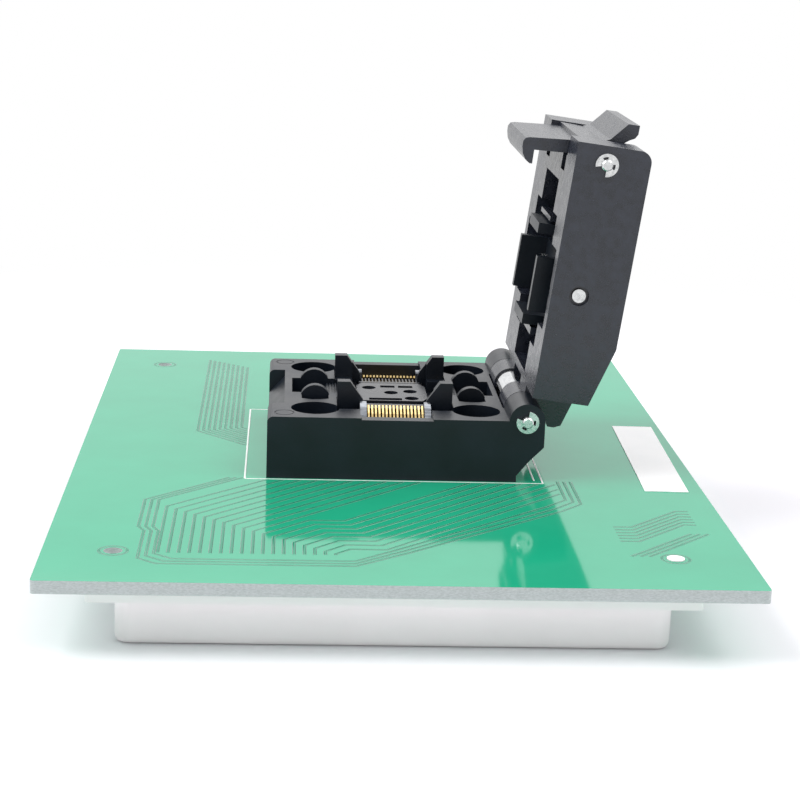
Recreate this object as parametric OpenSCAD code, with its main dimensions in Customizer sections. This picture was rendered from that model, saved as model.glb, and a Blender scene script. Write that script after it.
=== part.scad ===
// Clamshell test socket for a flat two-row chip package, on an adapter board
// with a moulded housing below it. Millimetres. The origin is at the middle
// of the underside: +X to the hinge side, +Y to the rear, +Z up.

/* [Board] */
// Width of the adapter board
board_w = 86; // [84:1:100]
// Depth of the adapter board
board_d = 119; // [118:1:140]
// Thickness of the board
board_t = 1.6; // [1.2:0.1:2.4]

/* [Housing] */
// Height of the housing under the board
housing_h = 8; // [7:0.5:14]
// Wall of the housing
wall = 2; // [1.2:0.2:2.4]
// Radius of the housing's upright corners
housing_r = 1.8; // [1:0.1:2]

/* [Socket] */
// Depth of the socket base and of the lid
base_d = 34.7; // [34:0.1:36]
// Height of the socket base above the board
base_h = 8.65; // [8:0.05:10]
// Distance of the hinge axis from the socket's middle
hinge_x = 17.7; // [17.6:0.1:18.5]
// Angle of the lid, from closed
lid_open = 97.07; // [0:0.01:100]

/* [Contacts] */
// Contacts in each row
contact_n = 16; // [4:4:16]
// Spacing of the contacts
pitch = 0.5; // [0.4:0.05:0.5]
// Thickness of one contact
contact_w = 0.26; // [0.15:0.01:0.28]

/* [Hidden] */
$fn = 48;
board_top = housing_h + board_t;
base_top = board_top + base_h;
half_d = base_d / 2;
socket_at = [1.1, 0.3, base_top];
housing_x = -0.65;
peg_at = [[-34.5, -48.5], [33.7, -48.5], [-34.5, 48.5], [33.7, 48.5]];
ring_at = [[-15.4, -14.9], [-15.4, 15.2]];
pin_r = 0.75;
knuckle_r = 2.45;
hinge_z = -0.06;
// Pin of the latch and pin of the pusher, as [u from the hinge, w outward]
latch_at = [36.1, 4.3];
pusher_at = [18.2, 3.85];
// Half widths of the two openings that the lid's knuckles and the hook use
knuckle_y = 10.15;
hook_y = 9.95;
header_x = 22.86;
header_n = 20;
header_pitch = 2.54;
row_x = 0.07;

// Places a child in the socket's own frame, level with the base's top face
module at_socket() {
    translate(socket_at) children();
}

// Places a child, drawn as on the closed lid, about the hinge axis
module on_lid() {
    translate(socket_at + [hinge_x, 0, hinge_z])
        rotate([0, lid_open, 0])
            children();
}

// Extrudes a profile drawn in X and Z from y0 to y1
module across(y0, y1) {
    translate([0, y1, 0])
        rotate([90, 0, 0])
            linear_extrude(y1 - y0)
                children();
}

// Extrudes a profile drawn in Y and Z from x0 to x1
module along(x0, x1) {
    translate([x0, 0, 0])
        rotate([90, 0, 90])
            linear_extrude(x1 - x0)
                children();
}

// A box between two corners
module block(a, b) {
    translate(a) cube(b - a);
}

// A box on the closed lid, from its limits in u, y and w
module lid_block(u, y, w) {
    block([-u[1], y[0], w[0]], [-u[0], y[1], w[1]]);
}

// A round bar along Y through a point of the X-Z plane
module rod(at, r, y0, y1) {
    across(y0, y1) translate(at) circle(r);
}

// An upright box with round corners
module slab(size, r) {
    linear_extrude(size.z) {
        square([size.x - 2 * r, size.y], center = true);
        square([size.x, size.y - 2 * r], center = true);
        for (sx = [-1, 1], sy = [-1, 1])
            translate([sx * (size.x / 2 - r), sy * (size.y / 2 - r)])
                circle(r);
    }
}

// Both pieces of a pair that mirror each other front to rear
module front_and_rear() {
    children();
    mirror([0, 1, 0]) children();
}

// Both pieces of a pair that mirror each other left to right
module left_and_right() {
    children();
    mirror([1, 0, 0]) children();
}

// Outline of a strip of thickness t that follows a path
function unit(v) = v / norm(v);
function path_side(p, i) =
    let (a = p[max(i - 1, 0)], b = p[min(i + 1, len(p) - 1)], d = unit(b - a))
    [-d.y, d.x];
function strip(p, t) = concat(
    [for (i = [0 : len(p) - 1]) p[i] + path_side(p, i) * t / 2],
    [for (i = [len(p) - 1 : -1 : 0]) p[i] - path_side(p, i) * t / 2]);

// ---------------------------------------------------------------- housing

module housing_foot() {
    slab([66.6 - 1.6, 109 - 1.6, 0.8], housing_r - 0.8);
    translate([0, 0, 0.8]) slab([66.6, 109, housing_h - 0.8], housing_r);
    for (i = [0 : 3]) {
        a = i * 22.5;
        z = 0.8 * (1 - cos(a));
        g = 0.8 * sin(a) - 0.8;
        translate([0, 0, z])
            slab([66.6 + 2 * g, 109 + 2 * g, 0.8 - z + 0.01], housing_r + g);
    }
}

module housing() {
    color("white") {
        difference() {
            translate([housing_x, 0, 0]) {
                housing_foot();
                translate([0, 0, housing_h - 2.07])
                    slab([73, 113, 2.07], 0.6);
            }
            translate([housing_x, 0, wall])
                slab([66.6 - 2 * wall, 109 - 2 * wall, housing_h], 0.9);
            for (s = [-1, 1])
                translate([s * header_x, 0, -1])
                    slab([5.6, header_n * header_pitch + 0.6, 6], 0.4);
        }
        for (i = [0 : 3])
            translate([peg_at[i].x, peg_at[i].y, housing_h - 0.5])
                cylinder(r = 1.1, h = board_t + (i == 1 ? 0.62 : -0.4));
    }
}

// ------------------------------------------------------------------ board

module tail_holes(r, z0, z1) {
    for (i = [0 : contact_n - 1], s = [-1, 1])
        translate([contact_x(i), s * tail_y(i), z0])
            cylinder(r = r, h = z1 - z0, $fn = 16);
}

module board() {
    color("mediumseagreen")
        difference() {
            translate([0, 0, housing_h]) slab([board_w, board_d, board_t], 0.5);
            for (p = peg_at)
                translate([p.x, p.y, 0]) cylinder(r = 1.15, h = 30);
            translate([socket_at.x, socket_at.y, 0]) {
                tail_holes(0.34, 0, 30);
                for (s = [-1, 1])
                    translate([s * 13.4, -s * 13.4, 0]) cylinder(r = 0.95, h = 30);
            }
        }
}

module label() {
    color("white")
        translate([38.4, -3.5, board_top])
            rotate([0, 0, -1.7])
                translate([-3, -17, 0])
                    cube([6, 34, 0.1]);
}

// ---------------------------------------------------------------- headers

module header_body() {
    h = housing_h - 0.7;
    translate([0, 0, 0.5])
        difference() {
            slab([5.08, header_n * header_pitch, h], 0.2);
            for (i = [0 : header_n - 1], s = [-1, 1])
                translate([s * 1.27, (i - (header_n - 1) / 2) * header_pitch, 0])
                    block([-0.5, -0.5, -1], [0.5, 0.5, h - 0.6]);
        }
}

module header_left() {
    color("dimgray") translate([-header_x, 0, 0]) header_body();
}

module header_right() {
    color("dimgray") translate([header_x, 0, 0]) header_body();
}

// One surface-mount lead under the board, outside its header
module header_lead() {
    path = [[4.2, housing_h - 0.1], [2.9, housing_h - 0.1],
        [2.68, housing_h - 0.4], [2.68, housing_h - 1.6]];
    across(-0.32, 0.32) polygon(strip(path, 0.18));
}

module header_terminals() {
    color("gold")
        for (s = [-1, 1], i = [0 : header_n - 1])
            translate([s * header_x, (i - (header_n - 1) / 2) * header_pitch, 0])
                left_and_right() header_lead();
}

// ------------------------------------------------------------ socket base

// Side view of the base with its two hinge knuckles
module base_profile() {
    difference() {
        union() {
            polygon([[-17.7, -base_h], [16.5, -base_h], [16.5, -7.75],
                [18.2, -5.65], [20.15, -3.65], [20.15, hinge_z],
                [15.26, 0], [-16.9, 0], [-17.7, -0.8]]);
            translate([hinge_x, hinge_z]) circle(knuckle_r);
            translate([-16.9, -0.8]) circle(0.8);
        }
        translate([hinge_x, hinge_z]) circle(pin_r + 0.03);
    }
}

// Notch in the free edge for the latch's hook, with its ramp and ledge
module latch_notch() {
    across(-hook_y, hook_y)
        polygon([[-18.7, 1], [-15.4, 1], [-15.4, -0.86], [-17.68, -3.4],
            [-17.68, -4.42], [-15.2, -4.42], [-15.2, -6.9], [-18.7, -7.4]]);
}

// A half-round cheek that holds the end of a guide's pivot pin
module lug(y0, y1) {
    across(y0, y1) {
        intersection() {
            translate([11.1, -0.8]) circle(2.15);
            translate([8, -0.9]) square([6, 4]);
        }
        translate([8.95, -6]) square([4.3, 5.2]);
    }
}

// Shallow round line that a moulding tool's ejector leaves
module ring_mark() {
    difference() {
        cylinder(r = 1.35, h = 1);
        translate([0, 0, -1]) cylinder(r = 1.2, h = 3);
    }
}

// Lens-shaped recess in front of a lug
module lug_recess() {
    intersection() {
        translate([11.1, -3.6, -2.4]) cylinder(r = 3.75, h = 4);
        block([9.2, -7.35, -2.4], [13, -4.2, 1]);
    }
}

module base_well() {
    block([-8.12, -12.4, -6.65], [8.12, 12.4, 1]);
    block([-5.02, -15.6, -6.65], [5.02, 15.6, 1]);
    front_and_rear() block([-4.6, 6.9, -9], [4.6, 15.4, -6]);
    left_and_right() block([8, -3.35, -6.65], [14.35, 5.05, 1]);
}

module socket_base() {
    color([0.14, 0.16, 0.2])
        at_socket()
            difference() {
                union() {
                    difference() {
                        across(-half_d, half_d) base_profile();
                        base_well();
                        left_and_right() lug_recess();
                    }
                    left_and_right() {
                        lug(-4.55, -3.35);
                        lug(5.05, 6.25);
                    }
                    for (s = [-1, 1])
                        translate([s * 13.4, -s * 13.4, -base_h - board_t * 0.6])
                            cylinder(r = 0.9, h = 2, $fn = 32);
                }
                rod([hinge_x, hinge_z], knuckle_r + 0.2, -knuckle_y, knuckle_y);
                across(-knuckle_y, knuckle_y)
                    polygon([[hinge_x, 4], [15.05, 4], [15.05, -2],
                        [17.2, -3.4], [22, -3.4], [22, 4]]);
                latch_notch();
                for (sx = [-1, 1], sy = [-1, 1])
                    translate([sx * 11.15, sy * 12.15, -5])
                        cylinder(r = 3.34, h = 6);
                front_and_rear()
                    block([-4.9, -half_d - 1, -0.25], [4.9, -15.5, 1]);
                left_and_right() rod([11.1, -2.8], 0.53, -4.2, 5.9);
                for (p = ring_at)
                    translate([p.x, p.y, -0.08]) ring_mark();
            }
}

// ------------------------------------------------------------- nest plate

module nest_plate() {
    color("dimgray")
        at_socket()
            difference() {
                union() {
                    translate([0, 0, -6.65])
                        linear_extrude(6.1)
                            polygon([[-5, -3.4], [-4.2, -5.15], [4.2, -5.15],
                                [5, -3.4], [5, 3.4], [4.2, 5.15],
                                [-4.2, 5.15], [-5, 3.4]]);
                    block([-4.2, -6.1, -6.65], [4.2, 6.1, -1.6]);
                }
                for (p = [[-0.1, -0.45], [2.7, 0.35], [-3.2, 2.35], [2.7, -3.65]])
                    translate([p.x, p.y, -4]) cylinder(r = 1, h = 5);
                block([-1.5, 2.5, -4], [0.6, 3.7, 1]);
                block([1.1, 2.5, -4], [3.2, 3.7, 1]);
                block([-3.4, -4.85, -4], [1.3, -3.65, 1]);
            }
}

// ----------------------------------------------------------------- guides

// One fin with the slanted edge that leads the chip body into its place
module fin() {
    across(7.3, 8.11)
        polygon([[8.05, -6.6], [8.05, 3], [6.3, 3], [5.5, 1.85], [5.5, -6.6]]);
    across(8.1, 8.9)
        polygon([[8.05, -6.6], [8.05, 3], [6.3, 3], [4.55, 0.6], [4.3, 0],
            [4.3, -1.2], [5.1, -1.2], [5.1, -6.6]]);
}

module guide() {
    difference() {
        union() {
            front_and_rear() {
                fin();
                block([5.5, 5.3, -6.6], [8.05, 7.35, -0.3]);
            }
            block([5.2, -8.4, -6.6], [8, 8.4, -1.9]);
            block([7.9, -3.3, -6.6], [9.5, 5, -0.65]);
            block([9.4, -3.3, -4.4], [11.1, 5, -2.6]);
            rod([11.1, -2.8], 1.1, -3.3, 5);
        }
        for (i = [0 : 3])
            block([8.1 + i * 0.42, -4, -0.83], [8.28 + i * 0.42, 6, 0]);
        rod([11.1, -2.8], 0.53, -5, 7);
    }
}

module guide_left() {
    color([0.15, 0.17, 0.2]) at_socket() mirror([1, 0, 0]) guide();
}

module guide_right() {
    color([0.15, 0.17, 0.2]) at_socket() guide();
}

module guide_pins() {
    color("silver")
        at_socket()
            left_and_right() rod([11.1, -2.8], 0.5, -4.1, 5.8);
}

// ------------------------------------------------------------ contact row

function contact_x(i) = row_x + (i - (contact_n - 1) / 2) * pitch;
function tail_y(i) = 7.9 + (i % 4) * 1.75;
// Path of one contact: sprung tip, arc over the well, bow, foot and tail
function contact_path(i) = concat(
    [[8.85, -0.42], [9.15, -0.5], [9.9, -0.72], [10.8, -1.12],
        [11.7, -1.68], [12.5, -2.4], [13.15, -3.2], [13.45, -4],
        [13.4, -4.7], [13.15, -5.2]],
    tail_y(i) < 13 ? [[12.9, -5.55], [tail_y(i) + 0.35, -5.75]] : [],
    [[tail_y(i) + 0.05, -5.95], [tail_y(i), -6.3],
        [tail_y(i), -base_h - board_t - 0.9]]);

module contacts() {
    for (i = [0 : contact_n - 1])
        along(contact_x(i) - contact_w / 2, contact_x(i) + contact_w / 2)
            polygon(strip(contact_path(i), 0.3));
}

module contacts_front() {
    color("gold") at_socket() mirror([0, 1, 0]) contacts();
}

module contacts_rear() {
    color("gold") at_socket() contacts();
}

// Moulded comb beside a contact row, with a wall at each end of the row
module row_guide() {
    left_and_right()
        along(4.2, 4.95)
            polygon([[6.2, -6], [6.2, -1.4], [9.2, -1.4], [9.2, -0.2],
                [10.1, -0.2], [11, -0.5], [11.9, -1.1], [12.6, -2],
                [12.9, -3.2], [15.5, -3.2], [15.5, -6]]);
    block([-4.5, 6.2, -6], [4.5, 6.9, -0.75]);
    for (i = [0 : contact_n])
        along(contact_x(i - 0.5) - 0.1, contact_x(i - 0.5) + 0.1)
            polygon([[6.8, -3], [6.8, -0.75], [8.75, -0.75], [8.75, -1.5]]);
    block([-4.5, 14.6, -6], [4.5, 15.5, -2.4]);
}

// Bright strap over each end wall, beside the first and the last contact
module row_end_guards() {
    path = [[9.06, -1.2], [9.06, 0.1], [9.25, 0.25], [10.2, 0.22],
        [11.2, -0.1], [12.2, -0.8], [12.95, -1.8], [13.25, -3.17]];
    color("silver")
        at_socket()
            left_and_right()
                front_and_rear()
                    along(4.02, 4.92) polygon(strip(path, 0.2));
}

module row_guide_front() {
    color([0.16, 0.18, 0.21]) at_socket() mirror([0, 1, 0]) row_guide();
}

module row_guide_rear() {
    color([0.16, 0.18, 0.21]) at_socket() row_guide();
}

// Plate in the base's floor that holds the contacts' tails
module retainer() {
    difference() {
        block([-4.55, 6.95, -base_h], [4.55, 15.35, -6.5]);
        for (i = [0 : contact_n - 1])
            translate([contact_x(i), tail_y(i), -10])
                block([-0.16, -0.18, 0], [0.16, 0.18, 5]);
    }
}

module retainer_front() {
    color("dimgray") at_socket() mirror([0, 1, 0]) retainer();
}

module retainer_rear() {
    color("dimgray") at_socket() retainer();
}

// ------------------------------------------------------------------ hinge

// Arc-shaped window of a retaining clip
module clip_window() {
    intersection() {
        difference() {
            circle(1.12);
            circle(0.8);
        }
        polygon([[0, 0], [2, 0.73], [2, -0.73]]);
    }
}

// A retaining clip that snaps into a pin's groove, with its gap along -X
module clip() {
    rotate([90, 0, 0])
        linear_extrude(0.45)
            difference() {
                circle(1.55);
                circle(0.62);
                polygon([[0, 0], [-2, 1.56], [-2, -1.56]]);
                for (a = [58, -58]) rotate(a) clip_window();
            }
}

// A pin along Y with a groove near each end
module grooved_pin(l) {
    rotate([90, 0, 0])
        rotate_extrude()
            polygon([[0, -l / 2], [pin_r - 0.15, -l / 2], [pin_r, -l / 2 + 0.15],
                [pin_r, -l / 2 + 0.4], [0.6, -l / 2 + 0.4],
                [0.6, -l / 2 + 0.9], [pin_r, -l / 2 + 0.9],
                [pin_r, l / 2 - 0.9], [0.6, l / 2 - 0.9],
                [0.6, l / 2 - 0.4], [pin_r, l / 2 - 0.4],
                [pin_r, l / 2 - 0.15], [pin_r - 0.15, l / 2], [0, l / 2]]);
}

module hinge_pin() {
    color("silver")
        at_socket()
            translate([hinge_x, 0, hinge_z]) grooved_pin(base_d + 1.9);
}

module hinge_clips() {
    color("silver")
        at_socket()
            translate([hinge_x, 0, hinge_z])
                for (s = [-1, 1])
                    translate([0, s * (half_d + 0.275) + 0.225, 0])
                        rotate([0, 60, 0]) clip();
}

module hinge_sleeve() {
    color("silver")
        at_socket()
            translate([hinge_x, 0, hinge_z])
                difference() {
                    rod([0, 0], 2.2, -3.85, 3.85);
                    rod([0, 0], pin_r + 0.03, -5, 5);
                }
}

// -------------------------------------------------------------------- lid

// Side view of the closed lid: hinge end at the right
module lid_profile() {
    polygon([[-3.4, 0.1], [-38.6, 0.1], [-38.6, 8.6], [-37, 8.6],
        [-37, 10.2], [-11.6, 10.2], [-3.4, 7.8]]);
    translate([-37, 8.6]) circle(1.6);
}

// Knuckle with the heel that joins it to the lid's end
module lid_knuckle(y0, y1) {
    across(y0, y1) {
        circle(knuckle_r);
        polygon([[-3.5, 0.1], [-2.2, 0.1], [-0.2, 2.4], [0.5, 3.3],
            [2.08, 4.05], [2.1, 4.95], [1.7, 5.9], [-1.6, 6.9], [-3.5, 7]]);
    }
}

// Stepped opening of the lid's inner face
module lid_pocket() {
    lid_block([4.5, 9.1], [-6.35, 6.35], [-1, 6.2]);
    lid_block([9, 27.5], [-6.35, 6.35], [-1, 8.6]);
    lid_block([27.4, 32], [-6.35, 6.35], [-1, 7.6]);
    lid_block([9, 27.5], [-10.35, 10.35], [-1, 8.2]);
    lid_block([12.5, 23.6], [-15.05, 15.05], [-1, 7.6]);
}

// Room in the free end for the latch, its arm and its lever
module latch_room() {
    lid_block([36.9, 45], [-hook_y, hook_y], [-1, 12]);
    lid_block([35.85, 40], [-hook_y, hook_y], [-1, 6]);
    lid_block([33.6, 40], [-hook_y, hook_y], [1.7, 8.4]);
    front_and_rear() lid_block([33.6, 36], [6.05, 9.35], [-1, 3]);
}

module lid() {
    color([0.14, 0.16, 0.2])
        on_lid()
            difference() {
                union() {
                    difference() {
                        across(-half_d, half_d) lid_profile();
                        lid_pocket();
                        latch_room();
                    }
                    lid_block([25.9, 26.55], [-4.85, 4.85], [0.1, 8.7]);
                    lid_block([9.6, 10.6], [-4.85, 4.85], [0.1, 8.7]);
                    lid_knuckle(-9.95, -3.95);
                    lid_knuckle(3.95, 9.95);
                }
                rod([0, 0], pin_r + 0.03, -20, 20);
                rod([-latch_at.x, latch_at.y], pin_r + 0.02, -20, 20);
                rod([-pusher_at.x, pusher_at.y], 1.0, -20, 20);
                front_and_rear()
                    rod([-pusher_at.x, pusher_at.y], 1.35, half_d - 0.6, 20);
            }
}

// ----------------------------------------------------------------- pusher

module pusher() {
    color([0.12, 0.14, 0.17])
        on_lid()
            difference() {
                union() {
                    front_and_rear()
                        lid_block([13.85, 21.55], [8.55, 9.85], [-1.5, 5.9]);
                    lid_block([13.85, 21.55], [-9.85, 9.85], [2.4, 5.9]);
                    lid_block([10.95, 25.45], [-4.65, 4.65], [2.4, 5.9]);
                    lid_block([10.95, 12.4], [-4.65, 4.65], [-1.3, 3]);
                    lid_block([24, 25.45], [-4.65, 4.65], [-1.3, 3]);
                }
                rod([-pusher_at.x, pusher_at.y], 1.0, -12, 12);
                rod([-pusher_at.x, pusher_at.y - 1.65], 1.0, -12, 12);
                lid_block([pusher_at.x - 1, pusher_at.x + 1], [-12, 12],
                    [pusher_at.y - 1.65, pusher_at.y]);
                front_and_rear()
                    translate([-pusher_at.x, 6.6, 4.9]) cylinder(r = 1.6, h = 3);
            }
}

module pusher_pin() {
    color("silver")
        on_lid()
            rod([-pusher_at.x, pusher_at.y], 0.925, -half_d + 0.1, half_d - 0.1);
}

// Close turns of a wire spring about Z, each a ring that meets the next
module coil(r, wire, turns) {
    rotate_extrude()
        for (i = [0 : turns - 1])
            translate([r, wire + i * wire * 1.9]) circle(wire, $fn = 16);
}

module pusher_springs() {
    color("silver")
        on_lid()
            front_and_rear()
                translate([-pusher_at.x, 6.6, 6.9]) coil(1.1, 0.22, 3);
}

// ------------------------------------------------------------------ latch

// Side view of the latch: hook arm, body round the pin, and lever
module latch_profile() {
    polygon([[-33.95, -4.42], [-33.95, -4.8], [-34.35, -5.4], [-35.1, -5.9],
        [-36, -6.12], [-36.8, -6.15], [-37.3, -5.85], [-37.45, -5.3],
        [-37.9, 0], [-37.95, 1.2], [-38.5, 1.3], [-38.4, 4.6],
        [-38.8, 5.6], [-41.2, 7.7], [-41.2, 9.25], [-40, 9.25],
        [-39.4, 8.9], [-39.05, 8.2], [-38.3, 7.2],
        [-36.9, 6.3], [-36.6, 5.5], [-36.6, 3], [-36.1, 2.2],
        [-36.1, 0], [-35.85, -4.45]]);
}

module latch() {
    color([0.13, 0.15, 0.18])
        on_lid()
            difference() {
                union() {
                    across(-hook_y + 0.4, hook_y - 0.4) latch_profile();
                    rod([-latch_at.x, latch_at.y], 1.7, -hook_y + 0.4, hook_y - 0.4);
                }
                rod([-latch_at.x, latch_at.y], pin_r + 0.03, -20, 20);
                lid_block([33, 37.4], [-2.2, 2.2], [2, 6.6]);
            }
}

module latch_pin() {
    color("silver")
        on_lid()
            translate([-latch_at.x, 0, latch_at.y]) grooved_pin(base_d + 1.9);
}

module latch_clips() {
    color("silver")
        on_lid()
            translate([-latch_at.x, 0, latch_at.y])
                for (s = [-1, 1])
                    translate([0, s * (half_d + 0.275) + 0.225, 0])
                        rotate([0, -142.07, 0]) clip();
}

module latch_spring() {
    color("silver")
        on_lid()
            translate([-latch_at.x, 2, latch_at.y])
                rotate([90, 0, 0]) coil(1.02, 0.2, 10);
}

housing();
board();
label();
header_left();
header_right();
header_terminals();
socket_base();
nest_plate();
guide_left();
guide_right();
guide_pins();
row_guide_front();
row_guide_rear();
row_end_guards();
contacts_front();
contacts_rear();
retainer_front();
retainer_rear();
hinge_pin();
hinge_clips();
hinge_sleeve();
lid();
pusher();
pusher_pin();
pusher_springs();
latch();
latch_pin();
latch_clips();
latch_spring();
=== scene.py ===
import bpy
import math
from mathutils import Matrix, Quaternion, Vector


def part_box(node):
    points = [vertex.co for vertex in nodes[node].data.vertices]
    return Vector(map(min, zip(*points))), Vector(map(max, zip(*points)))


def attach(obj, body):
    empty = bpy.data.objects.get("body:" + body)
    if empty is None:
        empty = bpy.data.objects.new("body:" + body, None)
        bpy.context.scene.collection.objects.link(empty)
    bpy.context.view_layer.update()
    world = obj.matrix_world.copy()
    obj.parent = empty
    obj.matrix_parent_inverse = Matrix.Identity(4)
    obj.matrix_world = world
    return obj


# Clamshell test socket on its adapter board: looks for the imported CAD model
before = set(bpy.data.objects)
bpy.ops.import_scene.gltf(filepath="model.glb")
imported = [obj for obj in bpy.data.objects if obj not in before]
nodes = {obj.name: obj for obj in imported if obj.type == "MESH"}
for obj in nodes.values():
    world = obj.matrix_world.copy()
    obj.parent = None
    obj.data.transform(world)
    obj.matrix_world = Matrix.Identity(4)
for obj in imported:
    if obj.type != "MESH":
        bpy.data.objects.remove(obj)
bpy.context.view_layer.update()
boardLow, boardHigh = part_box("board")
boardTop = boardHigh.z
cornerX, cornerY = boardLow.x, boardLow.y
mm = 0.001
micron = 0.000001
mmPerMetre = 1000
print("frame loaded:", len(nodes), "nodes")


def deselectAll():
    if bpy.context.object and bpy.context.object.mode != "OBJECT":
        bpy.ops.object.mode_set(mode="OBJECT")
    bpy.ops.object.select_all(action="DESELECT")


def linear(hexColour):
    # sRGB hex to the linear values that the shader sockets take
    values = []
    for i in (1, 3, 5):
        c = int(hexColour[i:i + 2], 16) / 255
        values.append(c / 12.92 if c <= 0.04045 else ((c + 0.055) / 1.055) ** 2.4)
    return (*values, 1.0)


deselectAll()

# camera: place, lens and sensor in mm, clip distances in m, angles in radians
camera = {"place": (-14.52, -268.67, 84.95), "yaw": 0.06273, "down": 0.24871,
          "roll": 0.03552, "lens": 86.47, "sensor": 36, "near": 0.01, "far": 20}
cameraData = bpy.data.cameras.new("camera")
cameraData.lens = camera["lens"]
cameraData.sensor_width = camera["sensor"]
cameraData.clip_start = camera["near"]
cameraData.clip_end = camera["far"]
cameraObject = bpy.data.objects.new("camera", cameraData)
bpy.context.scene.collection.objects.link(cameraObject)
ahead = Vector((math.sin(camera["yaw"]) * math.cos(camera["down"]),
                math.cos(camera["yaw"]) * math.cos(camera["down"]),
                -math.sin(camera["down"])))
turn = ahead.to_track_quat("-Z", "Y")
cameraObject.rotation_mode = "QUATERNION"
cameraObject.rotation_quaternion = turn @ Quaternion((0, 0, 1), camera["roll"])
cameraObject.location = Vector(camera["place"]) * mm
bpy.context.scene.camera = cameraObject
print("camera set")

noiseLow, noiseHigh = 0.3, 0.7  # most of a noise texture's values lie between these
# how far the roughness strays from a material's own value, and how high its bumps stand
plasticWear = {"smoother": 0.04, "rougher": 0.05, "grainHeight": 40 * micron}
metalWear = {"smoother": 0.05, "rougher": 0.07, "markHeight": 20 * micron}


def startMaterial(name):
    material = bpy.data.materials.new(name)
    material.use_nodes = True
    material.node_tree.nodes.clear()
    return material.node_tree


def addNode(tree, kind, settings=None, inputs=None):
    # adds a node; a value sets a socket, and a (node, output) pair links one
    node = tree.nodes.new(kind)
    for key, value in (settings or {}).items():
        setattr(node, key, value)
    for key, value in (inputs or {}).items():
        if isinstance(value, tuple) and len(value) == 2 and isinstance(value[0], bpy.types.Node):
            tree.links.new(value[0].outputs[value[1]], node.inputs[key])
        else:
            node.inputs[key].default_value = value
    return node


def setStops(ramp, stops):
    # puts the colour ramp's stops at [(position, colour), ...]
    elements = ramp.color_ramp.elements
    while len(elements) < len(stops):
        elements.new(0.5)
    for element, (position, colour) in zip(elements, stops):
        element.position = position
        element.color = colour


def mouldedPlastic(name, look):
    # an injection-moulded part: even colour, a fine grain and a soft sheen
    tree = startMaterial(name)
    place = addNode(tree, "ShaderNodeTexCoord")
    grain = addNode(tree, "ShaderNodeTexNoise", inputs={
        "Vector": (place, "Object"), "Scale": mmPerMetre / look["grainMm"], "Detail": 2.0,
        "Roughness": 0.6})
    cloud = addNode(tree, "ShaderNodeTexNoise", inputs={
        "Vector": (place, "Object"), "Scale": mmPerMetre / look["cloudMm"], "Detail": 3.0})
    tint = addNode(tree, "ShaderNodeValToRGB", inputs={"Fac": (cloud, "Fac")})
    setStops(tint, [(noiseLow, linear(look["dark"])), (noiseHigh, linear(look["light"]))])
    rough = addNode(tree, "ShaderNodeMapRange", inputs={
        "Value": (cloud, "Fac"), "From Min": noiseLow, "From Max": noiseHigh,
        "To Min": look["rough"] - plasticWear["smoother"],
        "To Max": look["rough"] + plasticWear["rougher"]})
    bump = addNode(tree, "ShaderNodeBump", inputs={
        "Height": (grain, "Fac"), "Strength": look["bump"],
        "Distance": plasticWear["grainHeight"]})
    surface = addNode(tree, "ShaderNodeBsdfPrincipled", inputs={
        "Base Color": (tint, "Color"), "Roughness": (rough, "Result"),
        "Normal": (bump, "Normal"), "IOR": look["ior"],
        "Specular IOR Level": look.get("specular", 0.5)})
    addNode(tree, "ShaderNodeOutputMaterial", inputs={"Surface": (surface, "BSDF")})
    return bpy.data.materials[name]


def metalFinish(name, look):
    # turned, stamped or plated metal, with fine marks along one axis
    tree = startMaterial(name)
    place = addNode(tree, "ShaderNodeTexCoord")
    stretch = addNode(tree, "ShaderNodeMapping", inputs={
        "Vector": (place, "Object"), "Scale": look["stretch"]})
    marks = addNode(tree, "ShaderNodeTexNoise", inputs={
        "Vector": (stretch, "Vector"), "Scale": mmPerMetre / look["markMm"], "Detail": 3.0})
    tint = addNode(tree, "ShaderNodeValToRGB", inputs={"Fac": (marks, "Fac")})
    setStops(tint, [(noiseLow, linear(look["dark"])), (noiseHigh, linear(look["light"]))])
    rough = addNode(tree, "ShaderNodeMapRange", inputs={
        "Value": (marks, "Fac"), "From Min": noiseLow, "From Max": noiseHigh,
        "To Min": look["rough"] - metalWear["smoother"],
        "To Max": look["rough"] + metalWear["rougher"]})
    bump = addNode(tree, "ShaderNodeBump", inputs={
        "Height": (marks, "Fac"), "Strength": look["bump"],
        "Distance": metalWear["markHeight"]})
    surface = addNode(tree, "ShaderNodeBsdfPrincipled", inputs={
        "Base Color": (tint, "Color"), "Roughness": (rough, "Result"),
        "Normal": (bump, "Normal"), "Metallic": 1.0})
    addNode(tree, "ShaderNodeOutputMaterial", inputs={"Surface": (surface, "BSDF")})
    return bpy.data.materials[name]


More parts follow.
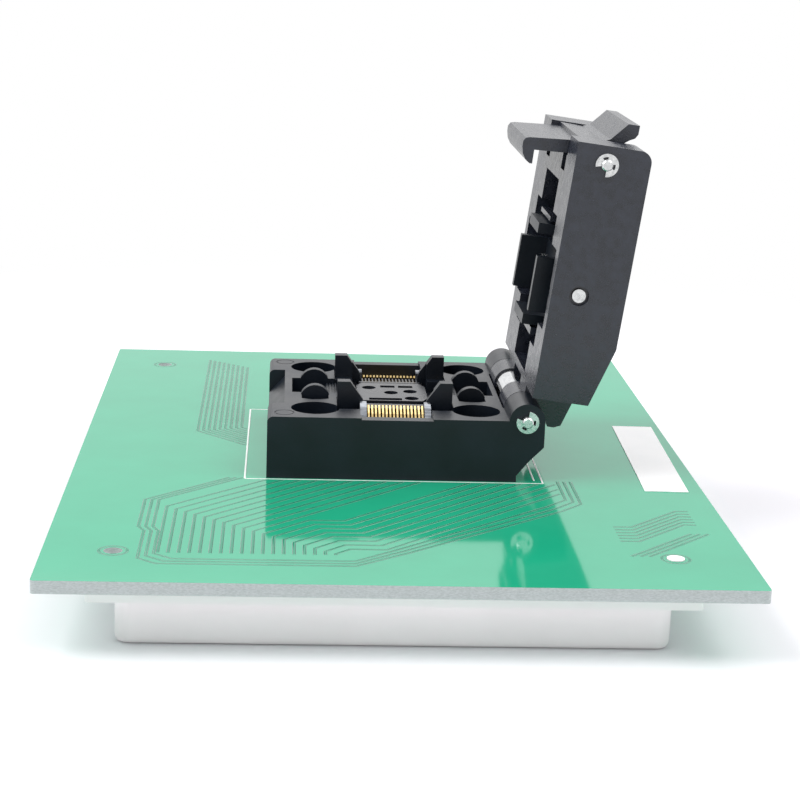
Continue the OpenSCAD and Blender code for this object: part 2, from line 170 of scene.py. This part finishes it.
plastics = {
    # glass-filled polyethersulphone of the base: near black and cool, with a low satin sheen
    "blackPolyethersulphone": {"dark": "#0A1018", "light": "#111923", "rough": 0.36,
                               "bump": 0.3, "grainMm": 0.16, "cloudMm": 6, "ior": 1.6,
                               "specular": 0.26},
    # the same resin from a spark-eroded tool on the lid and latch: greyer, with a fine speckle
    "blackSparkEroded": {"dark": "#161A24", "light": "#242834", "rough": 0.28,
                         "bump": 0.6, "grainMm": 0.3, "cloudMm": 1.1, "ior": 1.6,
                         "specular": 0.5},
    # polyetherimide of the small fine-tooled inserts: smoother, a little greyer
    "blackPolyetherimide": {"dark": "#191C23", "light": "#232730", "rough": 0.28,
                            "bump": 0.2, "grainMm": 0.12, "cloudMm": 4, "ior": 1.63,
                            "specular": 0.5},
    # moulded nylon of the header strips: flat black
    "blackNylonMoulded": {"dark": "#141517", "light": "#1C1D20", "rough": 0.5,
                          "bump": 0.3, "grainMm": 0.2, "cloudMm": 5, "ior": 1.53},
    # glossy white ABS of the housing: faint cloud, soft highlights
    "whiteAbsMoulded": {"dark": "#F2F1F0", "light": "#F7F6F5", "rough": 0.34,
                        "bump": 0.08, "grainMm": 0.3, "cloudMm": 16, "ior": 1.54},
}
metals = {
    # stainless wire, rod and stampings: bright, with fine drawn marks
    "stainlessDrawn": {"dark": "#C2C4C5", "light": "#E6E7E7", "rough": 0.24,
                       "bump": 0.12, "markMm": 0.25, "stretch": (1.0, 0.08, 1.0)},
    # tinned steel straps at the row ends: bright but greyer, with soft highlights
    "tinnedSteel": {"dark": "#70747B", "light": "#A4A8AE", "rough": 0.28,
                    "bump": 0.1, "markMm": 0.3, "stretch": (0.2, 1.0, 1.0)},
    # polished stainless tube over the hinge pin: near mirror
    "stainlessPolished": {"dark": "#D4D6D8", "light": "#ECEDEE", "rough": 0.12,
                          "bump": 0.04, "markMm": 0.5, "stretch": (1.0, 0.3, 1.0)},
    # hard gold plating over beryllium copper: warm yellow, satin from the rolled strip
    "goldPlatedCopper": {"dark": "#C9A86A", "light": "#F3DCA4", "rough": 0.22,
                         "bump": 0.1, "markMm": 0.12, "stretch": (1.0, 0.2, 0.2)},
}
finishes = {name: mouldedPlastic(name, look) for name, look in plastics.items()}
finishes.update({name: metalFinish(name, look) for name, look in metals.items()})

solderMask = {
    "dark": "#1CA27B", "light": "#20A880", "edgeDark": "#A1ABA9", "edgeLight": "#B9C2C1",
    "rough": 0.07, "edgeRough": 0.75, "weaveMm": 0.4, "fibreLow": 0.35, "fibreHigh": 0.62,
    "flatten": 3.0, "rippleMm": 9, "ripple": 0.015, "rippleHeight": 400 * micron, "ior": 1.66,
}


def boardFinish(name, look):
    # glass-epoxy board: glossy green solder mask on the faces, pale glass fibre on the cut edge
    tree = startMaterial(name)
    place = addNode(tree, "ShaderNodeTexCoord")
    split = addNode(tree, "ShaderNodeSeparateXYZ", inputs={"Vector": (place, "Normal")})
    upright = addNode(tree, "ShaderNodeMath", {"operation": "ABSOLUTE"}, {0: (split, "Z")})
    isFace = addNode(tree, "ShaderNodeMath", {"operation": "GREATER_THAN"},
                     {0: (upright, "Value"), 1: 0.5})
    cloud = addNode(tree, "ShaderNodeTexNoise", inputs={
        "Vector": (place, "Object"), "Scale": mmPerMetre / look["rippleMm"], "Detail": 4.0})
    mask = addNode(tree, "ShaderNodeValToRGB", inputs={"Fac": (cloud, "Fac")})
    setStops(mask, [(noiseLow, linear(look["dark"])), (noiseHigh, linear(look["light"]))])
    layers = addNode(tree, "ShaderNodeMapping", inputs={
        "Vector": (place, "Object"), "Scale": (1.0, 1.0, look["flatten"])})
    fibres = addNode(tree, "ShaderNodeTexNoise", inputs={
        "Vector": (layers, "Vector"), "Scale": mmPerMetre / look["weaveMm"], "Detail": 3.0,
        "Roughness": 0.7})
    cut = addNode(tree, "ShaderNodeValToRGB", inputs={"Fac": (fibres, "Fac")})
    setStops(cut, [(look["fibreLow"], linear(look["edgeDark"])),
                   (look["fibreHigh"], linear(look["edgeLight"]))])
    colour = addNode(tree, "ShaderNodeMix", {"data_type": "RGBA"}, {
        "Factor": (isFace, "Value")})
    tree.links.new(cut.outputs["Color"], colour.inputs[6])
    tree.links.new(mask.outputs["Color"], colour.inputs[7])
    rough = addNode(tree, "ShaderNodeMapRange", inputs={
        "Value": (isFace, "Value"), "To Min": look["edgeRough"],
        "To Max": look["rough"]})
    ripple = addNode(tree, "ShaderNodeBump", inputs={
        "Height": (cloud, "Fac"), "Strength": look["ripple"], "Distance": look["rippleHeight"]})
    surface = addNode(tree, "ShaderNodeBsdfPrincipled", inputs={
        "Base Color": (colour, 2), "Roughness": (rough, "Result"),
        "Normal": (ripple, "Normal"), "IOR": look["ior"]})
    addNode(tree, "ShaderNodeOutputMaterial", inputs={"Surface": (surface, "BSDF")})
    return bpy.data.materials[name]


finishes["glassEpoxyBoard"] = boardFinish("glassEpoxyBoard", solderMask)
# mask over copper: the same ink, its colour painted a touch darker as painted shade standing in
# for the shading along the raised lines' edges
finishes["solderMaskOverCopper"] = boardFinish(
    "solderMaskOverCopper", dict(solderMask, dark="#158062", light="#1B8A6A", ior=1.4))
# screen-printed epoxy ink: flat white with a soft edge to its gloss
finishes["screenPrintInk"] = mouldedPlastic("screenPrintInk", {
    "dark": "#E4EEE8", "light": "#F2F7F4", "rough": 0.55, "bump": 0.2,
    "grainMm": 0.15, "cloudMm": 3, "ior": 1.5})
# coated paper label, die cut and left bare: matt and slightly cool
finishes["coatedPaper"] = mouldedPlastic("coatedPaper", {
    "dark": "#F3F4F4", "light": "#F9F9F9", "rough": 0.6, "bump": 0.15,
    "grainMm": 0.1, "cloudMm": 7, "ior": 1.48})

nodeFinish = {
    "housing": "whiteAbsMoulded", "board": "glassEpoxyBoard", "label": "coatedPaper",
    "header_left": "blackNylonMoulded", "header_right": "blackNylonMoulded",
    "header_terminals": "goldPlatedCopper", "nest_plate": "blackPolyetherimide",
    "row_guide_front": "blackPolyetherimide", "row_guide_rear": "blackPolyetherimide",
    "row_end_guards": "tinnedSteel", "lid": "blackSparkEroded", "latch": "blackSparkEroded",
    "socket_base": "blackPolyethersulphone", "guide_left": "blackPolyethersulphone",
    "guide_right": "blackPolyethersulphone", "retainer_front": "blackPolyethersulphone",
    "retainer_rear": "blackPolyethersulphone", "pusher": "blackPolyethersulphone",
    "guide_pins": "stainlessDrawn", "contacts_front": "goldPlatedCopper",
    "contacts_rear": "goldPlatedCopper", "hinge_pin": "stainlessDrawn",
    "hinge_clips": "stainlessDrawn", "hinge_sleeve": "stainlessPolished",
    "pusher_pin": "stainlessDrawn", "pusher_springs": "stainlessDrawn",
    "latch_pin": "stainlessDrawn", "latch_clips": "stainlessDrawn",
    "latch_spring": "stainlessDrawn",
}
for name, node in nodes.items():
    node.data.materials.clear()
    node.data.materials.append(finishes[nodeFinish[name]])
print("materials made:", len(finishes))


def flatLines(name, routes, width, height):
    # thin raised lines along routes of board points, in mm from the front left corner
    deselectAll()
    bpy.ops.curve.primitive_bezier_curve_add(location=(0, 0, 0))
    curve = bpy.context.object
    curve.data.splines.clear()
    for route in routes:
        spline = curve.data.splines.new("POLY")
        spline.points.add(len(route) - 1)
        for point, (x, y) in zip(spline.points, route):
            point.co = (cornerX + x * mm, cornerY + y * mm, boardTop, 1)
    curve.data.bevel_depth = width * mm / 2
    curve.data.bevel_resolution = 1
    curve.data.use_fill_caps = True
    bpy.ops.object.convert(target="MESH")
    lines = bpy.context.object
    lines.name = name
    bpy.ops.object.mode_set(mode="EDIT")
    bpy.ops.mesh.select_all(action="SELECT")
    bpy.ops.transform.resize(value=(1, 1, 2 * height / width),
                             center_override=(0, 0, boardTop))
    bpy.ops.mesh.normals_make_consistent(inside=False)
    bpy.ops.object.mode_set(mode="OBJECT")
    return lines


# the printed outline round the socket, in mm, with one more line inside its right side
outline = {"left": 23.5, "right": 64.3, "front": 42.0, "rear": 79.3,
           "line": 0.28, "height": 0.012, "innerInset": 1.1, "innerGap": 1.2}
corners = [(outline["left"], outline["front"]), (outline["right"], outline["front"]),
           (outline["right"], outline["rear"]), (outline["left"], outline["rear"])]
sides = [[corners[i], corners[(i + 1) % len(corners)]] for i in range(len(corners))]
innerX = outline["right"] - outline["innerInset"]
innerLine = [(innerX, outline["front"] + outline["innerGap"]),
             (innerX, outline["rear"] - outline["innerGap"])]
printed = flatLines("socketOutline", sides + [innerLine], outline["line"], outline["height"])
printed.data.materials.append(finishes["screenPrintInk"])
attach(printed, "base")
print("printed outline made")

# copper tracks, in mm: some routes are plain lists of bends, and the rest are worked out
tracks = {"width": 0.46, "height": 0.016}
routes = []

fan = {"count": 18, "left": 13.8, "pitch": 1.26, "foot": 10.6, "shortest": 0.4,
       "firstBend": 29.0, "bendStep": 1.07, "end": 41.6, "rightLimit": 66.0,
       "firstFlat": 10, "flatTop": 24.0, "flatStep": 1.6, "flatLength": 4.5}
for i in range(fan["count"]):  # tracks that rise, bend by 45 degrees and run to the socket
    x = fan["left"] + i * fan["pitch"]
    bend = max(fan["firstBend"] - fan["bendStep"] * i, fan["foot"] + fan["shortest"])
    shift = x - bend
    route = [(x, fan["foot"]), (x, bend)]
    if i >= fan["firstFlat"]:
        level = fan["flatTop"] - fan["flatStep"] * (i - fan["firstFlat"])
        route.append((shift + level, level))
        shift += fan["flatLength"]
        route.append((shift + level, level))
    top = min(fan["end"], fan["rightLimit"] - shift)
    route.append((shift + top, top))
    routes.append(route)

# each bend of the innermost track, and how far it moves on the next one as a share of the pitch
loop = {"count": 3, "pitch": 0.9, "bends": [
    ((23.2, 42.4), (-1, 0)), ((12.6, 31.8), (-1, 0)), ((12.6, 20.5), (-1, 0)),
    ((13.4, 18.8), (-1, 0)), ((13.4, 10.2), (-1, -1)), ((15.6, 8.4), (-1, -1)),
    ((37.5, 8.4), (0, -1)), ((42.5, 12.6), (1, -0.4)), ((63.5, 31.4), (1, -1)),
    ((66.4, 34.6), (1, -1)), ((66.4, 43), (1, 0))]}
for i in range(loop["count"]):  # tracks that go round the fan's foot
    away = i * loop["pitch"]
    routes.append([(x + away * outX, y + away * outY)
                   for (x, y), (outX, outY) in loop["bends"]])

bundle = {"count": 9, "left": 16.0, "pitch": 0.8, "rear": 112, "rearStep": 0.6,
          "front": 66.0, "frontStep": 0.3, "end": 23.2}
for i in range(bundle["count"]):  # tracks behind the socket's left side
    x = bundle["left"] + i * bundle["pitch"]
    front = bundle["front"] + i * bundle["frontStep"]
    routes.append([(x, bundle["rear"] - i * bundle["rearStep"]), (x, front),
                   (bundle["end"], front - bundle["end"] + x)])

stepped = {"count": 6, "pitch": 1.15,
           "bends": [(71.0, 17.6), (73.4, 17.6), (80.4, 24.6), (82.0, 24.6)]}
for i in range(stepped["count"]):  # short tracks near the front right corner
    routes.append([(x, y + i * stepped["pitch"]) for x, y in stepped["bends"]])

slanted = {"count": 3, "pitch": 1.1, "bends": [(71.4, 11.8), (73.6, 13.9), (80.6, 20.9)]}
for i in range(slanted["count"]):  # slanted tracks in front of those
    routes.append([(x + i * slanted["pitch"], y) for x, y in slanted["bends"]])

copper = flatLines("copperTracks", routes, tracks["width"], tracks["height"])
# the tracks take the darker mask colour, which is painted shade
copper.data.materials.append(finishes["solderMaskOverCopper"])
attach(copper, "base")
print("tracks made")

# copper rings under the mask, one round each hole for a housing peg
holeRings = {"radius": 1.7, "line": 0.2, "height": 0.018, "places": {
    "holeRingFrontLeft": (8.5, 11.0), "holeRingFrontRight": (76.7, 11.0),
    "holeRingRearLeft": (8.5, 108.0), "holeRingRearRight": (76.7, 108.0)}}
for name, (x, y) in holeRings["places"].items():
    middle = (cornerX + x * mm, cornerY + y * mm, boardTop)
    deselectAll()
    bpy.ops.mesh.primitive_torus_add(
        location=middle, major_segments=48, minor_segments=8,
        major_radius=holeRings["radius"] * mm, minor_radius=holeRings["line"] * mm)
    ring = bpy.context.object
    ring.name = name
    bpy.ops.object.mode_set(mode="EDIT")
    bpy.ops.mesh.select_all(action="SELECT")
    bpy.ops.transform.resize(value=(1, 1, holeRings["height"] / holeRings["line"]),
                             center_override=middle)
    bpy.ops.object.mode_set(mode="OBJECT")
    bpy.ops.object.transform_apply(location=True, rotation=True, scale=True)
    bpy.ops.object.shade_smooth()
    # the rings take the same darker mask colour, which is painted shade
    ring.data.materials.append(finishes["solderMaskOverCopper"])
    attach(ring, "base")
print("hole rings made")

# the floor lies a hair below the part, and is plain white beyond the part's shadow
floorLook = {"size": 12, "drop": 20 * micron, "whiteFrom": 0.07, "whiteTo": 0.2}
deselectAll()
bpy.ops.mesh.primitive_plane_add(size=floorLook["size"], location=(0, 0, -floorLook["drop"]))
floor = bpy.context.object
floor.name = "floor"
tree = startMaterial("palePaperFloor")
# seamless paper: diffuse with the shadow near the object, even white further out
path = addNode(tree, "ShaderNodeLightPath")
seen = addNode(tree, "ShaderNodeMath", {"operation": "MAXIMUM"}, {
    0: (path, "Is Camera Ray"), 1: (path, "Is Glossy Ray")})
place = addNode(tree, "ShaderNodeTexCoord")
reach = addNode(tree, "ShaderNodeVectorMath", {"operation": "LENGTH"}, {0: (place, "Object")})
far = addNode(tree, "ShaderNodeMapRange", {"interpolation_type": "SMOOTHSTEP"}, {
    "Value": (reach, "Value"), "From Min": floorLook["whiteFrom"],
    "From Max": floorLook["whiteTo"], "To Min": 0.0})
share = addNode(tree, "ShaderNodeMath", {"operation": "MULTIPLY"}, {
    0: (seen, "Value"), 1: (far, "Result")})
paper = addNode(tree, "ShaderNodeBsdfPrincipled", inputs={
    "Base Color": linear("#F3F2F6"), "Roughness": 0.6, "Specular IOR Level": 0.2})
white = addNode(tree, "ShaderNodeEmission", inputs={"Color": linear("#FFFFFF"), "Strength": 1.0})
mixed = addNode(tree, "ShaderNodeMixShader", inputs={0: (share, "Value")})
tree.links.new(paper.outputs["BSDF"], mixed.inputs[1])
tree.links.new(white.outputs["Emission"], mixed.inputs[2])
addNode(tree, "ShaderNodeOutputMaterial", inputs={"Surface": (mixed, "Shader")})
floor.data.materials.append(bpy.data.materials["palePaperFloor"])

lamps = [
    {"name": "keyLamp", "place": (-0.5, -0.1, 0.6), "size": 0.5, "power": 4.6},
    {"name": "fillLamp", "place": (0.5, -0.22, 0.6), "size": 0.5, "power": 3.4},
    {"name": "backLamp", "place": (0.05, 0.6, 0.6), "size": 0.7, "power": 2.0},
]
for lamp in lamps:
    data = bpy.data.lights.new(lamp["name"], "AREA")
    data.energy = lamp["power"]
    data.size = lamp["size"]
    light = bpy.data.objects.new(lamp["name"], data)
    light.location = lamp["place"]
    light.rotation_mode = "QUATERNION"
    light.rotation_quaternion = (-Vector(lamp["place"])).to_track_quat("-Z", "Y")
    bpy.context.scene.collection.objects.link(light)

world = bpy.data.worlds.new("studio")
bpy.context.scene.world = world
world.use_nodes = True
tree = world.node_tree
tree.nodes.clear()
path = addNode(tree, "ShaderNodeLightPath")
seen = addNode(tree, "ShaderNodeMath", {"operation": "MAXIMUM"}, {
    0: (path, "Is Camera Ray"), 1: (path, "Is Glossy Ray")})
soft = addNode(tree, "ShaderNodeBackground", inputs={"Color": linear("#F6F4F6"), "Strength": 0.55})
pale = addNode(tree, "ShaderNodeBackground", inputs={"Color": linear("#FFFFFF"), "Strength": 1.0})
blend = addNode(tree, "ShaderNodeMixShader", inputs={0: (seen, "Value")})
tree.links.new(soft.outputs["Background"], blend.inputs[1])
tree.links.new(pale.outputs["Background"], blend.inputs[2])
addNode(tree, "ShaderNodeOutputWorld", inputs={"Surface": (blend, "Shader")})
bpy.context.scene.view_settings.view_transform = "Standard"
print("stage lit")
